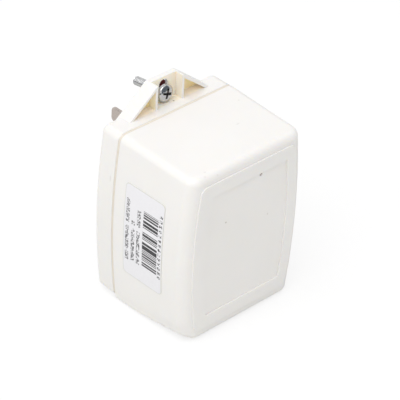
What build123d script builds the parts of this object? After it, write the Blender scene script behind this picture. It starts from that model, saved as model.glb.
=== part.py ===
"""Wall plug-in AC transformer: a moulded two-part case with a mounting tab, plug blades, a
captive cover screw and, inside, a laminated transformer with a thermal fuse and two screw
terminals. Millimetres. The origin lies on the wall face, midway between the plug blades.
+X is to the right seen from the front, +Y points into the wall and +Z is up."""

import math
import os

from build123d import *

# Case, measured at the seam between the two mouldings
body_width = 56.0
body_height = 74.8
body_top = 13.6
side_crown = 2.6
case_depth = 48.7
seam_depth = 10.1
draft_angle = 1.1
wall = 2.4
cover_foot_raise = 1.5

# Rounded edges of the case
front_side_radius = 5.2
front_edge_radius = 3.0
top_corner_radius = 3.2
bottom_corner_radius = 2.2
rear_edge_radius = 2.1
rim_edge_radius = 0.25
inner_corner_radius = 1.6
inner_front_radius = 1.4

# Parting groove, with the housing's tongue inside the cover's rim
groove_width = 1.1
groove_depth = 1.05
tongue_reach = 3.0
tongue_corner_radius = 2.2
joint_clearance = 0.1

# Raised face and sunk panel on the front
face_margin = 4.1
face_height = 0.45
face_corner_radius = 2.8
panel_side_margin = 4.4
panel_shift = 0.9
panel_top_margin = 5.6
panel_foot_margin = 5.6
panel_crown = 1.8
panel_sink = 0.6
gate_mark_x = 6.8
gate_mark_drop = 1.0
gate_mark_radius = 0.8
gate_mark_sink = 0.5

# Mounting tab above the cover
tab_height = 10.2
tab_depth = 6.1
tab_top_width = 13.6
tab_foot_width = 39.2
tab_plate = 2.2
tab_side_wall = 1.1
tab_rib = 0.9
tab_rib_gap = 12.2
tab_corner_radius = 1.2
tab_root = 1.4
slot_width = 4.3
slot_foot = 1.4
slot_head = 9.0
washer_recess_depth = 0.9
washer_recess_width = 9.8
washer_recess_foot = 2.4
washer_recess_head = 9.2
washer_recess_corner = 2.9

# Cover screw and its fibre washer
screw_radius = 1.75
screw_length = 15.9
screw_tip_chamfer = 0.6
screw_head_radius = 3.45
screw_head_height = 2.1
screw_head_side = 0.9
screw_droop = 9.2
recess_wing_width = 1.0
recess_wing_span = 3.8
recess_depth = 1.5
recess_taper = 10.0
recess_turn = 20.0
washer_radius = 4.4
washer_thickness = 0.8
washer_clearance = 0.03
seat_clearance = 0.05

# Plug blades and the fibre plate that traps them
blade_spacing = 12.7
blade_width = 6.35
blade_thickness = 1.52
blade_length = 18.2
blade_tip_radius = 1.9
blade_bevel = 0.35
blade_hole_radius = 2.0
blade_hole_reach = 11.9
blade_clearance = 0.05
shoulder_width = 9.0
shoulder_length = 1.4
solder_tab_width = 3.0
solder_tab_rise = 1.7
solder_tab_length = 4.0
retainer_thickness = 1.2
retainer_width = 28.0
retainer_height = 12.0
retainer_corner = 1.5
peg_spacing = 23.0
peg_radius = 1.5
peg_head_radius = 2.1
peg_head_height = 0.5
peg_clearance = 0.1

# Room around the laminated core, whose legs run along X and whose sheets are stacked along Y
core_head_room = 5.1
core_foot_room = 1.95
core_side_room = 1.75
coil_front_room = 2.25
coil_rear_room = 2.95
stack_to_leg = 1.05
core_hole_radius = 1.8
core_gap = 0.1

# Bobbin, windings and tapes
bobbin_wall = 1.1
bobbin_flange = 1.2
bobbin_fit = 0.15
bobbin_end_gap = 0.2
flange_corner = 2.0
flange_stand = 0.6
flange_clearance = 0.25
winding_room = 1.475
winding_corner = 4.0
winding_gap = 0.05
tape_thickness = 0.4

# Ribs and posts that hold the core
post_width = 3.0
post_height = 2.6
rib_thickness = 1.6
rib_spacing = 28.0
shelf_spacing = 34.0
core_seat = 0.15

# Terminal wells in the foot of the housing
terminal_spacing = 24.0
terminal_y = -19.2
well_width = 11.0
well_length = 10.8
well_depth = 9.0
well_wall = 1.6
terminal_plate_width = 8.4
terminal_plate_length = 9.6
terminal_plate_thickness = 1.0
terminal_tab_width = 3.0
terminal_tab_top = 6.7
terminal_fit = 0.1
terminal_screw_radius = 1.7
terminal_screw_length = 4.0
terminal_head_radius = 3.7
terminal_head_height = 2.0
terminal_head_edge = 0.8
driver_slot_width = 1.1
driver_slot_depth = 0.9

# Thermal fuse, its sleeve and the insulated leads
fuse_radius = 1.95
fuse_length = 11.0
fuse_edge = 0.4
fuse_y = -11.5
fuse_run_in = 4.4
fuse_run_out = 2.7
sleeve_bore = 2.05
sleeve_radius = 2.4
sleeve_length = 13.0
sleeve_seat = 0.1
lead_radius = 0.8
lead_bend = 2.4
lead_bend_tight = 1.9
lead_stub_y = -6.6
lead_entry_room = 1.6
neutral_drop_y = -14.4
neutral_rise = 6.5
secondary_start_room = 2.8
secondary_finish_room = 2.5
secondary_lead_y = -10.2
secondary_turn_drop = 5.5
secondary_far_y = -9.2
lead_seat = 0.05

# Paper label on the left side
label_front = 37.0
label_rear = 16.4
label_top = -2.2
label_foot = -42.8
label_corner = 1.6
label_thickness = 0.15

# Overlap that fuses two features, and how far a cutting shape runs past what it cuts
weld = 0.5
cut_past = 1.0

# Sizes worked out from the ones above
housing_rim = seam_depth + groove_width / 2
cover_rim = seam_depth - groove_width / 2
housing_low = body_top - body_height
cover_low = housing_low + cover_foot_raise
blade_x = blade_spacing / 2
tab_slope = math.atan2(tab_height, (tab_foot_width - tab_top_width) / 2)
slot_floor = body_top + slot_foot
shoulder_front = -wall - shoulder_length
retainer_front = shoulder_front - retainer_thickness
solder_tab_end = shoulder_front - solder_tab_length
core_room_z = body_height - core_head_room - core_foot_room - well_depth - well_wall
core_room_x = body_width - 2 * wall - 2 * core_side_room
core_leg = min(core_room_z / 3, core_room_x / 2.5)
core_window = 1.5 * core_leg
core_half_width = 1.25 * core_leg
core_half_height = 1.5 * core_leg
core_z = body_top - core_head_room - core_half_height
winding_build = core_leg / 2 - bobbin_fit - bobbin_wall - tape_thickness - winding_room
coil_rear = retainer_front - coil_rear_room
coil_front = wall + coil_front_room - case_depth
core_y = (coil_rear + coil_front) / 2
coil_build = bobbin_fit + bobbin_wall + winding_build + tape_thickness
core_stack = min(coil_rear - coil_front - 2 * coil_build, stack_to_leg * core_leg)
core_rear = core_y + core_stack / 2
core_front = core_y - core_stack / 2
tube_half_y = core_stack / 2 + bobbin_fit + bobbin_wall
tube_half_z = core_leg / 2 + bobbin_fit + bobbin_wall
coil_half_y = tube_half_y + winding_build + tape_thickness
coil_half_z = tube_half_z + winding_build + tape_thickness
flange_half_y = coil_half_y + flange_stand
flange_half_z = core_leg - flange_clearance
bobbin_half = core_window / 2 - bobbin_end_gap
well_ceiling = housing_low + well_depth
terminal_rear_y = terminal_y + terminal_plate_length / 2
lead_entry_x = -bobbin_flange / 2 - lead_entry_room
fuse_x = lead_entry_x - fuse_run_out - lead_seat - fuse_length / 2
lead_loop_x = fuse_x - fuse_length / 2 - lead_seat - fuse_run_in
fuse_z = core_z + flange_half_z + sleeve_seat + sleeve_radius
secondary_start_x = bobbin_flange / 2 + secondary_start_room
secondary_finish_x = bobbin_half - bobbin_flange - secondary_finish_room


def bowed_outline(half, top, low, crown=side_crown):
    """Section of the case, drawn flat: straight top and foot, and sides bowed out between them."""
    middle = (top + low) / 2
    with BuildSketch() as section:
        with BuildLine():
            Line((-half, low), (half, low))
            ThreePointArc((half, low), (half + crown, middle), (half, top))
            Line((half, top), (-half, top))
            ThreePointArc((-half, top), (-half - crown, middle), (-half, low))
        make_face()
    return section.sketch


def inset_outline(inset, low):
    """Section of the case drawn in by one distance all round."""
    return bowed_outline(body_width / 2 - inset, body_top - inset, low + inset)


def rounded(sketch, top_radius, bottom_radius):
    """The same section with its upper and lower corners rounded."""
    corners = sketch.vertices().sort_by(Axis.Y)
    sketch = fillet(corners[2:], top_radius)
    corners = sketch.vertices().sort_by(Axis.Y)
    return fillet(corners[:2], bottom_radius)


def forward(sketch, depth, length, taper=draft_angle):
    """Stand a flat section up at a depth and extrude it to the front, drawing in with the draft."""
    return Pos(0, -depth, 0) * Rot(90, 0, 0) * extrude(sketch, amount=length, taper=taper)


def rearward(sketch, depth, length, taper=draft_angle):
    """The same towards the wall."""
    return Pos(0, -depth, 0) * mirror(forward(sketch, 0, length, taper), about=Plane.XZ)


def block(x_low, x_high, y_low, y_high, z_low, z_high):
    """A box given by its two corners."""
    size = (x_high - x_low, y_high - y_low, z_high - z_low)
    centre = ((x_low + x_high) / 2, (y_low + y_high) / 2, (z_low + z_high) / 2)
    return Pos(*centre) * Box(*size)


def prism_y(points, y_low, y_high):
    """Extrude a polygon drawn in X and Z from y_low to y_high."""
    with BuildSketch(Plane.XZ.offset(-y_high)) as shape:
        with BuildLine():
            Polyline(*points, close=True)
        make_face()
    return extrude(shape.sketch, amount=y_high - y_low, dir=(0, -1, 0))


def rod(radius, length, place, toward):
    """A round rod that starts at a place and runs along a direction."""
    base = Plane(origin=place, z_dir=toward)
    return extrude(base * Circle(radius), amount=length)


def wire(points, radii):
    """An insulated lead: straight runs joined by tangent arcs."""
    path = FilletPolyline(*points, radius=radii)
    section = Plane(origin=path @ 0, z_dir=path % 0) * Circle(lead_radius)
    return sweep(section, path=path)


def housing_body():
    """Outer form of the front housing, with every edge rounded as moulded."""
    body = forward(inset_outline(0, housing_low), housing_rim, case_depth - housing_rim)
    front = body.faces().sort_by(Axis.Y)[0]
    sides = front.edges().filter_by(GeomType.LINE, reverse=True)
    body = fillet(sides, front_side_radius)
    top = body.faces().sort_by(Axis.Z)[-1]
    body = fillet(top.edges().sort_by(Axis.Y)[:-1], front_edge_radius)
    foot = body.faces().sort_by(Axis.Z)[0]
    body = fillet(foot.edges().sort_by(Axis.Y)[:-1], bottom_corner_radius)
    rim = body.faces().sort_by(Axis.Y)[-1]
    return fillet(rim.edges(), rim_edge_radius)


def housing_inside():
    """The hollow of the front housing."""
    section = inset_outline(wall, cover_low)
    section = rounded(section, inner_corner_radius, inner_corner_radius)
    hollow = forward(section, housing_rim, case_depth - housing_rim - wall)
    front = hollow.faces().sort_by(Axis.Y)[0]
    return fillet(front.edges(), inner_front_radius)


def front_face_panel(body):
    """Add the raised face on the front and sink the square-cornered panel into it."""
    lean = math.tan(math.radians(draft_angle)) * (case_depth - housing_rim)
    half = body_width / 2 - lean - face_margin
    top = body_top - lean - face_margin
    low = housing_low + lean + face_margin
    face = rounded(bowed_outline(half, top, low), face_corner_radius, face_corner_radius)
    body += forward(face, case_depth - face_height, 2 * face_height, 0)
    half -= panel_side_margin
    top -= panel_top_margin
    low += panel_foot_margin
    front = case_depth + face_height
    panel = Pos(panel_shift, 0) * bowed_outline(half, top, low, panel_crown)
    body -= forward(panel, front - panel_sink, 2 * panel_sink, 0)
    mark = (gate_mark_x, -front, top - gate_mark_drop)
    return body - rod(gate_mark_radius, panel_sink + gate_mark_sink, mark, (0, 1, 0))


def tongue():
    """The housing's tongue, which slips inside the cover's rim and floors the parting groove."""
    reach = groove_width + tongue_reach
    outer = inset_outline(groove_depth, cover_low)
    outer = rounded(outer, tongue_corner_radius, inner_corner_radius)
    inner = inset_outline(wall, cover_low)
    inner = rounded(inner, inner_corner_radius, inner_corner_radius)
    root = forward(outer, housing_rim, weld) - forward(inner, housing_rim, weld)
    return rearward(outer, housing_rim, reach) - rearward(inner, housing_rim, reach) + root


def core_supports(y_low, y_high):
    """Four posts that press on the corners of the lamination stack."""
    posts = Part()
    for side in (-1, 1):
        for end in (-1, 1):
            x = side * (core_half_width - post_width / 2)
            z = core_z + end * (core_half_height - post_height / 2)
            x_low = x - post_width / 2
            z_low = z - post_height / 2
            posts += block(x_low, x_low + post_width, y_low, y_high, z_low, z_low + post_height)
    return posts


def side_ribs(hollow):
    """Ribs on the side walls, above and below, that stop the core from shifting."""
    front = -case_depth
    rear = -housing_rim
    ribs = Part()
    near = core_half_width + core_seat
    far = body_width / 2 + side_crown
    for side in (-1, 1):
        x_low = near if side > 0 else -far
        x_high = far if side > 0 else -near
        for end in (-1, 1):
            z = core_z + end * rib_spacing / 2
            ribs += block(x_low, x_high, front, rear, z - rib_thickness / 2, z + rib_thickness / 2)
        x = side * shelf_spacing / 2
        half = rib_thickness / 2
        under = core_z - core_half_height - core_seat
        over = core_z + core_half_height + core_seat
        ribs += block(x - half, x + half, front, core_rear, housing_low, under)
        ribs += block(x - half, x + half, front, core_rear, over, body_top)
    return ribs & hollow


def terminal_sides():
    """The X places of the two output terminals."""
    return (-terminal_spacing / 2, terminal_spacing / 2)


def well_box(x, grow, top):
    """The space of one terminal well, grown on its sides."""
    half_x = well_width / 2 + grow
    half_y = well_length / 2 + grow
    low = housing_low - cut_past
    return block(x - half_x, x + half_x, terminal_y - half_y, terminal_y + half_y, low, top)


def front_housing():
    """The deep front moulding, with its tongue, core supports and terminal wells."""
    body = housing_body()
    hollow = housing_inside()
    shell = front_face_panel(body) - hollow
    shell += tongue()
    shell += core_supports(-case_depth, core_front - core_gap) & hollow
    shell += side_ribs(hollow)
    for x in terminal_sides():
        shell += well_box(x, well_wall, well_ceiling + well_wall) & body
        shell -= well_box(x, 0, well_ceiling)
        start = (x, terminal_y, well_ceiling - cut_past)
        shell -= rod(screw_bore_radius(), well_wall + 2 * cut_past, start, (0, 0, 1))
        shell -= terminal_tab_slot(x)
    return shell


def screw_bore_radius():
    """Bore in the well's ceiling that the terminal screw passes through."""
    return terminal_screw_radius + terminal_fit


def terminal_tab_slot(x):
    """Slot in the well's ceiling for the terminal plate's solder tab."""
    half = terminal_tab_width / 2 + terminal_fit
    rear = terminal_rear_y + terminal_fit
    front = terminal_rear_y - terminal_plate_thickness - terminal_fit
    low = well_ceiling - cut_past
    return block(x - half, x + half, front, rear, low, well_ceiling + well_wall + cut_past)


def cover_body():
    """Outer form of the back cover, without its tab."""
    section = rounded(inset_outline(0, cover_low), top_corner_radius, bottom_corner_radius)
    body = rearward(section, cover_rim, cover_rim)
    rear = body.faces().sort_by(Axis.Y)[-1]
    body = fillet(rear.edges(), rear_edge_radius)
    rim = body.faces().sort_by(Axis.Y)[0]
    return fillet(rim.edges(), rim_edge_radius)


def cover_inside():
    """The hollow of the cover: a shallow cup, wider at the rim where the tongue goes in."""
    section = inset_outline(wall, cover_low)
    section = rounded(section, inner_corner_radius, inner_corner_radius)
    hollow = rearward(section, cover_rim, cover_rim - wall)
    rebate = inset_outline(groove_depth - joint_clearance, cover_low)
    rebate = rounded(rebate, tongue_corner_radius, inner_corner_radius)
    return hollow + rearward(rebate, cover_rim, tongue_reach + joint_clearance)


def tab_outline_points(drop):
    """Corners of the tab's outline: a low trapezium that stands on the cover."""
    foot = tab_foot_width / 2 + drop / math.tan(tab_slope)
    top = tab_top_width / 2
    low = body_top - drop
    high = body_top + tab_height
    return [(-foot, low), (-top, high), (top, high), (foot, low)]


def tab_pocket_points(side):
    """Triangular pocket between the slanted wall and the upright rib on one side."""
    inner = tab_rib_gap / 2 + tab_rib
    lower = tab_side_wall / math.cos(tab_slope)
    rise = math.tan(tab_slope)
    peak = body_top + tab_height - lower - rise * (inner - tab_top_width / 2)
    low = body_top - tab_root - cut_past
    foot = inner + (peak - low) / rise
    return [(side * inner, low), (side * inner, peak), (side * foot, low)]


def mounting_tab():
    """The tab: a thin back plate, slanted side walls and two upright ribs, open to the front."""
    walls = prism_y(tab_outline_points(tab_root), -tab_depth, 0)
    corners = walls.edges().filter_by(Axis.Y).sort_by(Axis.Z)[-2:]
    walls = fillet(corners, tab_corner_radius)
    high = body_top + tab_height + cut_past
    plate = walls & block(-body_width, body_width, -tab_plate, 0, 0, high)
    front = -tab_depth - cut_past
    for side in (-1, 1):
        walls -= prism_y(tab_pocket_points(side), front, cut_past)
    half = tab_rib_gap / 2
    walls -= block(-half, half, front, cut_past, 0, high)
    return walls + plate


def screw_slot():
    """Upright slot for the cover screw, with the washer's recess on the wall side."""
    half = slot_width / 2
    low = slot_floor + half
    high = body_top + slot_head - half
    cut = block(-half, half, -tab_plate - cut_past, cut_past, low, high)
    cut += rod(half, tab_plate + 2 * cut_past, (0, cut_past, low), (0, -1, 0))
    cut += rod(half, tab_plate + 2 * cut_past, (0, cut_past, high), (0, -1, 0))
    width = washer_recess_width / 2
    foot = body_top - washer_recess_foot
    head = body_top + washer_recess_head
    recess = block(-width, width, -washer_recess_depth, cut_past, foot, head)
    return cut + fillet(recess.edges().filter_by(Axis.Y), washer_recess_corner)


def retainer_pegs():
    """Two staked pegs that hold the retainer plate against the blades' shoulders."""
    pegs = Part()
    root = weld - wall
    half = shoulder_width / 2
    for side in (-1, 1):
        x = side * peg_spacing / 2
        pegs += rod(peg_radius, root - retainer_front, (x, root, 0), (0, -1, 0))
        pegs += rod(peg_head_radius, peg_head_height, (x, retainer_front, 0), (0, -1, 0))
        pegs += block(x - peg_radius, x + peg_radius, shoulder_front, root, -half, half)
    return pegs


def back_cover():
    """The shallow cover that lies against the wall, with its tab, slot, pegs and core posts."""
    hollow = cover_inside()
    shell = cover_body() - hollow
    shell += mounting_tab()
    shell -= screw_slot()
    shell += core_supports(core_rear + core_gap, weld - wall)
    shell += retainer_pegs()
    half_t = blade_thickness / 2 + blade_clearance
    half_w = blade_width / 2 + blade_clearance
    for x in (-blade_x, blade_x):
        shell -= block(x - half_t, x + half_t, -wall - cut_past, cut_past, -half_w, half_w)
    return shell


def blade(x):
    """A flat plug blade: rounded tip, hole, shoulders inside the cover and a solder tab."""
    half = blade_width / 2
    flat = block(x - blade_thickness / 2, x + blade_thickness / 2, -wall, blade_length, -half, half)
    corners = flat.edges().filter_by(Axis.X).sort_by(Axis.Y)[-2:]
    flat = fillet(corners, blade_tip_radius)
    end = flat.edges().filter_by(Axis.X, reverse=True).sort_by(Axis.Y)[-2:]
    flat = chamfer(end, blade_bevel)
    start = (x - blade_thickness, blade_hole_reach, 0)
    flat -= rod(blade_hole_radius, 2 * blade_thickness, start, (1, 0, 0))
    half_t = blade_thickness / 2
    half = shoulder_width / 2
    flat += block(x - half_t, x + half_t, shoulder_front, -wall, -half, half)
    low = solder_tab_rise - solder_tab_width / 2
    flat += block(x - half_t, x + half_t, solder_tab_end, shoulder_front, low, low + solder_tab_width)
    return flat


def blade_retainer():
    """Fibre plate over the blades' shoulders, cut out for the solder tabs and the pegs."""
    half_w = retainer_width / 2
    half_h = retainer_height / 2
    plate = block(-half_w, half_w, retainer_front, shoulder_front, -half_h, half_h)
    plate = fillet(plate.edges().filter_by(Axis.Y), retainer_corner)
    low = solder_tab_rise - solder_tab_width / 2 - blade_clearance
    high = solder_tab_rise + solder_tab_width / 2 + blade_clearance
    half_t = blade_thickness / 2 + blade_clearance
    for side in (-1, 1):
        x = side * blade_x
        front = retainer_front - cut_past
        plate -= block(x - half_t, x + half_t, front, shoulder_front + cut_past, low, high)
        peg = (side * peg_spacing / 2, shoulder_front + cut_past, 0)
        plate -= rod(peg_radius + peg_clearance, retainer_thickness + 2 * cut_past, peg, (0, -1, 0))
    return plate


def screw_frame():
    """Frame of the loose cover screw: z runs from its head to its tip, drooping in the slot."""
    droop = math.radians(screw_droop)
    rear = -washer_recess_depth
    rest = slot_floor + (screw_radius + seat_clearance) / math.cos(droop)
    wall_z = rest + rear * math.tan(droop)
    toward = (0, math.cos(droop), -math.sin(droop))
    return Plane(origin=(0, 0, wall_z), x_dir=(1, 0, 0), z_dir=toward)


def head_seat():
    """Place along the screw of its head's underside, where its upper edge meets the tab."""
    droop = math.radians(screw_droop)
    return -(tab_plate + seat_clearance + screw_head_radius * math.sin(droop)) / math.cos(droop)


def washer_seat():
    """Place along the screw of the washer's face, where its lower edge meets the recess."""
    droop = math.radians(screw_droop)
    return (seat_clearance - washer_recess_depth + washer_radius * math.sin(droop)) / math.cos(droop)


def driver_recess():
    """Tapered cross recess in the screw's head."""
    outline = Rectangle(recess_wing_span, recess_wing_width)
    wing = extrude(outline, amount=recess_depth, taper=recess_taper)
    return Rot(0, 0, recess_turn) * (wing + Rot(0, 0, 90) * wing)


def mounting_screw():
    """Pan-head cover screw, lying loose in the slot with its tip drooping."""
    seat = head_seat()
    crown = screw_head_height - screw_head_side
    with BuildSketch(Plane.XZ) as profile:
        with BuildLine():
            Line((0, seat), (screw_head_radius, seat))
            Line((screw_head_radius, seat), (screw_head_radius, seat - screw_head_side))
            EllipticalCenterArc((0, seat - screw_head_side), screw_head_radius, crown, -90, arc_size=90)
            Line((0, seat - screw_head_height), (0, seat))
        make_face()
    head = revolve(profile.sketch, Axis.Z)
    head -= Pos(0, 0, seat - screw_head_height) * driver_recess()
    shank = Pos(0, 0, seat + screw_length / 2) * Cylinder(screw_radius, screw_length)
    shank = chamfer(shank.edges().sort_by(Axis.Z)[-1], screw_tip_chamfer)
    return screw_frame().location * (head + shank)


def fibre_washer():
    """Fibre washer pushed onto the thread behind the tab, which keeps the screw captive."""
    ring = Circle(washer_radius) - Circle(screw_radius + washer_clearance)
    return screw_frame().location * Pos(0, 0, washer_seat()) * extrude(ring, amount=washer_thickness)


def core_place(shape):
    """Move a shape drawn about the core's centre to its place in the case."""
    return Pos(0, core_y, core_z) * shape


def core_holes():
    """The four punched corner holes of the laminations."""
    holes = Part()
    front = -core_stack / 2 - cut_past
    for side in (-1, 1):
        for end in (-1, 1):
            x = side * (core_half_width - core_leg / 4)
            z = end * (core_half_height - core_leg / 4)
            holes += rod(core_hole_radius, -2 * front, (x, front, z), (0, 1, 0))
    return holes


def e_stack():
    """Stack of E laminations: a yoke on the left with three legs."""
    half = core_stack / 2
    past = half + cut_past
    left = -core_half_width
    legs = block(left, core_window / 2, -half, half, -core_half_height, core_half_height)
    for end in (-1, 1):
        near = end * core_leg / 2
        far = end * core_leg
        window = (-core_window / 2, core_window / 2 + cut_past, -past, past)
        legs -= block(*window, min(near, far), max(near, far))
    return core_place(legs - core_holes())


def i_stack():
    """Stack of I laminations that closes the open ends of the legs."""
    half = core_stack / 2
    tall = core_half_height
    bar = block(core_window / 2, core_half_width, -half, half, -tall, tall)
    return core_place(bar - core_holes())


def rounded_tube_x(half_y, half_z, corner, x_low, x_high):
    """A block along X with rounded long edges, centred on the core's middle leg."""
    shape = block(x_low, x_high, -half_y, half_y, -half_z, half_z)
    return fillet(shape.edges().filter_by(Axis.X), corner)


def bobbin():
    """Split bobbin: a square tube over the middle leg, with two end flanges and a middle one."""
    half = bobbin_half
    body = block(-half, half, -tube_half_y, tube_half_y, -tube_half_z, tube_half_z)
    for x in (-half, -bobbin_flange / 2, half - bobbin_flange):
        end = x + bobbin_flange
        body += rounded_tube_x(flange_half_y, flange_half_z, flange_corner, x, end)
    half_y = core_stack / 2 + bobbin_fit
    half_z = core_leg / 2 + bobbin_fit
    body -= block(-core_window, core_window, -half_y, half_y, -half_z, half_z)
    return core_place(body)


def chamber(side):
    """X range of one winding chamber of the bobbin."""
    near = bobbin_flange / 2 + winding_gap
    far = bobbin_half - bobbin_flange - winding_gap
    return (near, far) if side > 0 else (-far, -near)


def winding(side):
    """One winding, wound in its chamber with the corners rounded by the wire."""
    x_low, x_high = chamber(side)
    half_y = tube_half_y + winding_build
    half_z = tube_half_z + winding_build
    coil = rounded_tube_x(half_y, half_z, winding_corner, x_low, x_high)
    hole_y = tube_half_y + winding_gap
    hole_z = tube_half_z + winding_gap
    return core_place(coil - block(-core_window, core_window, -hole_y, hole_y, -hole_z, hole_z))


def tape(side):
    """Insulating tape wrapped over one winding."""
    x_low, x_high = chamber(side)
    half_y = tube_half_y + winding_build
    half_z = tube_half_z + winding_build
    corner = winding_corner + tape_thickness
    outer = rounded_tube_x(coil_half_y, coil_half_z, corner, x_low, x_high)
    x_low -= cut_past
    x_high += cut_past
    inner = rounded_tube_x(half_y, half_z, winding_corner, x_low, x_high)
    return core_place(outer - inner)


def thermal_fuse():
    """Axial thermal fuse, lying across the top of the primary winding."""
    body = rod(fuse_radius, fuse_length, (fuse_x - fuse_length / 2, fuse_y, fuse_z), (1, 0, 0))
    return fillet(body.edges().filter_by(GeomType.CIRCLE), fuse_edge)


def fuse_sleeve():
    """Insulating sleeve over the thermal fuse."""
    start = (fuse_x - sleeve_length / 2, fuse_y, fuse_z)
    tube = rod(sleeve_radius, sleeve_length, start, (1, 0, 0))
    return tube - rod(sleeve_bore, sleeve_length, start, (1, 0, 0))


def line_lead_in():
    """Lead from the left blade round to the outer end of the thermal fuse."""
    start = -blade_x - blade_thickness / 2 - lead_seat
    end = fuse_x - fuse_length / 2 - lead_seat
    points = [
        (start, lead_stub_y, solder_tab_rise),
        (lead_loop_x, lead_stub_y, solder_tab_rise),
        (lead_loop_x, fuse_y, fuse_z),
        (end, fuse_y, fuse_z),
    ]
    return wire(points, [lead_bend, lead_bend])


def line_lead_out():
    """Lead from the inner end of the thermal fuse down to the primary winding."""
    start = fuse_x + fuse_length / 2 + lead_seat
    end = core_z + coil_half_z + lead_seat
    points = [
        (start, fuse_y, fuse_z),
        (lead_entry_x, fuse_y, fuse_z),
        (lead_entry_x, fuse_y, end),
    ]
    return wire(points, [lead_bend_tight])


def neutral_lead():
    """Lead from the right blade, over the middle flange, down to the primary winding."""
    top = solder_tab_rise + solder_tab_width / 2 + lead_seat
    end = core_z + coil_half_z + lead_seat
    points = [
        (blade_x, lead_stub_y, top),
        (blade_x, lead_stub_y, neutral_rise),
        (lead_entry_x, neutral_drop_y, neutral_rise),
        (lead_entry_x, neutral_drop_y, end),
    ]
    return wire(points, [lead_bend, lead_bend])


def secondary_lead(start_x, terminal_x, turn_y):
    """Lead from the foot of the secondary winding to a terminal's solder tab."""
    top = core_z - coil_half_z - lead_seat
    level = well_ceiling + terminal_tab_top - terminal_plate_thickness - terminal_tab_width / 2
    tab = terminal_rear_y + lead_seat
    points = [
        (start_x, secondary_lead_y, top),
        (start_x, turn_y, top - secondary_turn_drop),
        (terminal_x, turn_y, level),
        (terminal_x, tab, level),
    ]
    return wire(points, [lead_bend, lead_bend_tight])


def terminal_plate(x):
    """Brass terminal plate on the well's ceiling, with a solder tab turned up through it."""
    half_x = terminal_plate_width / 2
    front = terminal_y - terminal_plate_length / 2
    under = well_ceiling - terminal_plate_thickness
    plate = block(x - half_x, x + half_x, front, terminal_rear_y, under, well_ceiling)
    plate = fillet(plate.edges().filter_by(Axis.Z), terminal_plate_thickness)
    half_t = terminal_tab_width / 2
    tab_front = terminal_rear_y - terminal_plate_thickness
    plate += block(x - half_t, x + half_t, tab_front, terminal_rear_y, under, under + terminal_tab_top)
    bore = (x, terminal_y, under - cut_past)
    length = terminal_plate_thickness + 2 * cut_past
    return plate - rod(screw_bore_radius(), length, bore, (0, 0, 1))


def terminal_screws():
    """The two slotted binding-head screws of the output terminals."""
    screws = []
    under = well_ceiling - terminal_plate_thickness
    for x in terminal_sides():
        shank = rod(terminal_screw_radius, terminal_screw_length, (x, terminal_y, under), (0, 0, 1))
        head = rod(terminal_head_radius, terminal_head_height, (x, terminal_y, under), (0, 0, -1))
        head = fillet(head.edges().sort_by(Axis.Z)[0], terminal_head_edge)
        low = under - terminal_head_height
        half = driver_slot_width / 2
        reach = terminal_head_radius + cut_past
        y_low = terminal_y - reach
        y_high = terminal_y + reach
        slot = block(x - half, x + half, y_low, y_high, low - cut_past, low + driver_slot_depth)
        screws.append(shank + head - slot)
    return Compound(children=screws)


def side_label():
    """Paper label that follows the bowed left side of the front housing."""
    with BuildSketch(Plane.YZ.offset(-body_width)) as shape:
        with Locations(((-label_front - label_rear) / 2, (label_top + label_foot) / 2)):
            RectangleRounded(label_front - label_rear, label_top - label_foot, label_corner)
    stamp = extrude(shape.sketch, amount=body_width)
    length = case_depth - housing_rim
    over = body_width / 2 + label_thickness
    outer = forward(bowed_outline(over, body_top, housing_low), housing_rim, length)
    return (outer - forward(inset_outline(0, housing_low), housing_rim, length)) & stamp


def build_pieces():
    """Every piece of the transformer by its node name."""
    left, right = terminal_sides()
    return {
        "front_housing": front_housing(),
        "back_cover": back_cover(),
        "blade_left": blade(-blade_x),
        "blade_right": blade(blade_x),
        "blade_retainer": blade_retainer(),
        "mounting_screw": mounting_screw(),
        "fibre_washer": fibre_washer(),
        "e_lamination_stack": e_stack(),
        "i_lamination_stack": i_stack(),
        "bobbin": bobbin(),
        "primary_winding": winding(-1),
        "secondary_winding": winding(1),
        "primary_tape": tape(-1),
        "secondary_tape": tape(1),
        "thermal_fuse": thermal_fuse(),
        "fuse_sleeve": fuse_sleeve(),
        "line_lead_in": line_lead_in(),
        "line_lead_out": line_lead_out(),
        "neutral_lead": neutral_lead(),
        "secondary_lead_right": secondary_lead(secondary_finish_x, right, secondary_lead_y),
        "secondary_lead_left": secondary_lead(secondary_start_x, left, secondary_far_y),
        "terminal_plate_left": terminal_plate(left),
        "terminal_plate_right": terminal_plate(right),
        "terminal_screws": terminal_screws(),
        "side_label": side_label(),
    }


os.makedirs("parts", exist_ok=True)
for node, shape in build_pieces().items():
    export_step(shape, f"parts/{node}.step")
    print(node, round(shape.volume, 1))
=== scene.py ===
# %% [markdown]
# # A wall plug-in transformer
#
# The object is a warm white moulded case, about 56 by 75 by 49 mm, with a plug on its back, a
# tab with a loose screw above it, a paper label on its side and a wound transformer inside.
# The case and its parts come ready made from the CAD model. This script gives each of them
# its finish, makes three pieces that need finer shapes, and sets the light and the camera.

import math

import bmesh
import bpy
import numpy as np
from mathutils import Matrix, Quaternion, Vector


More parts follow.
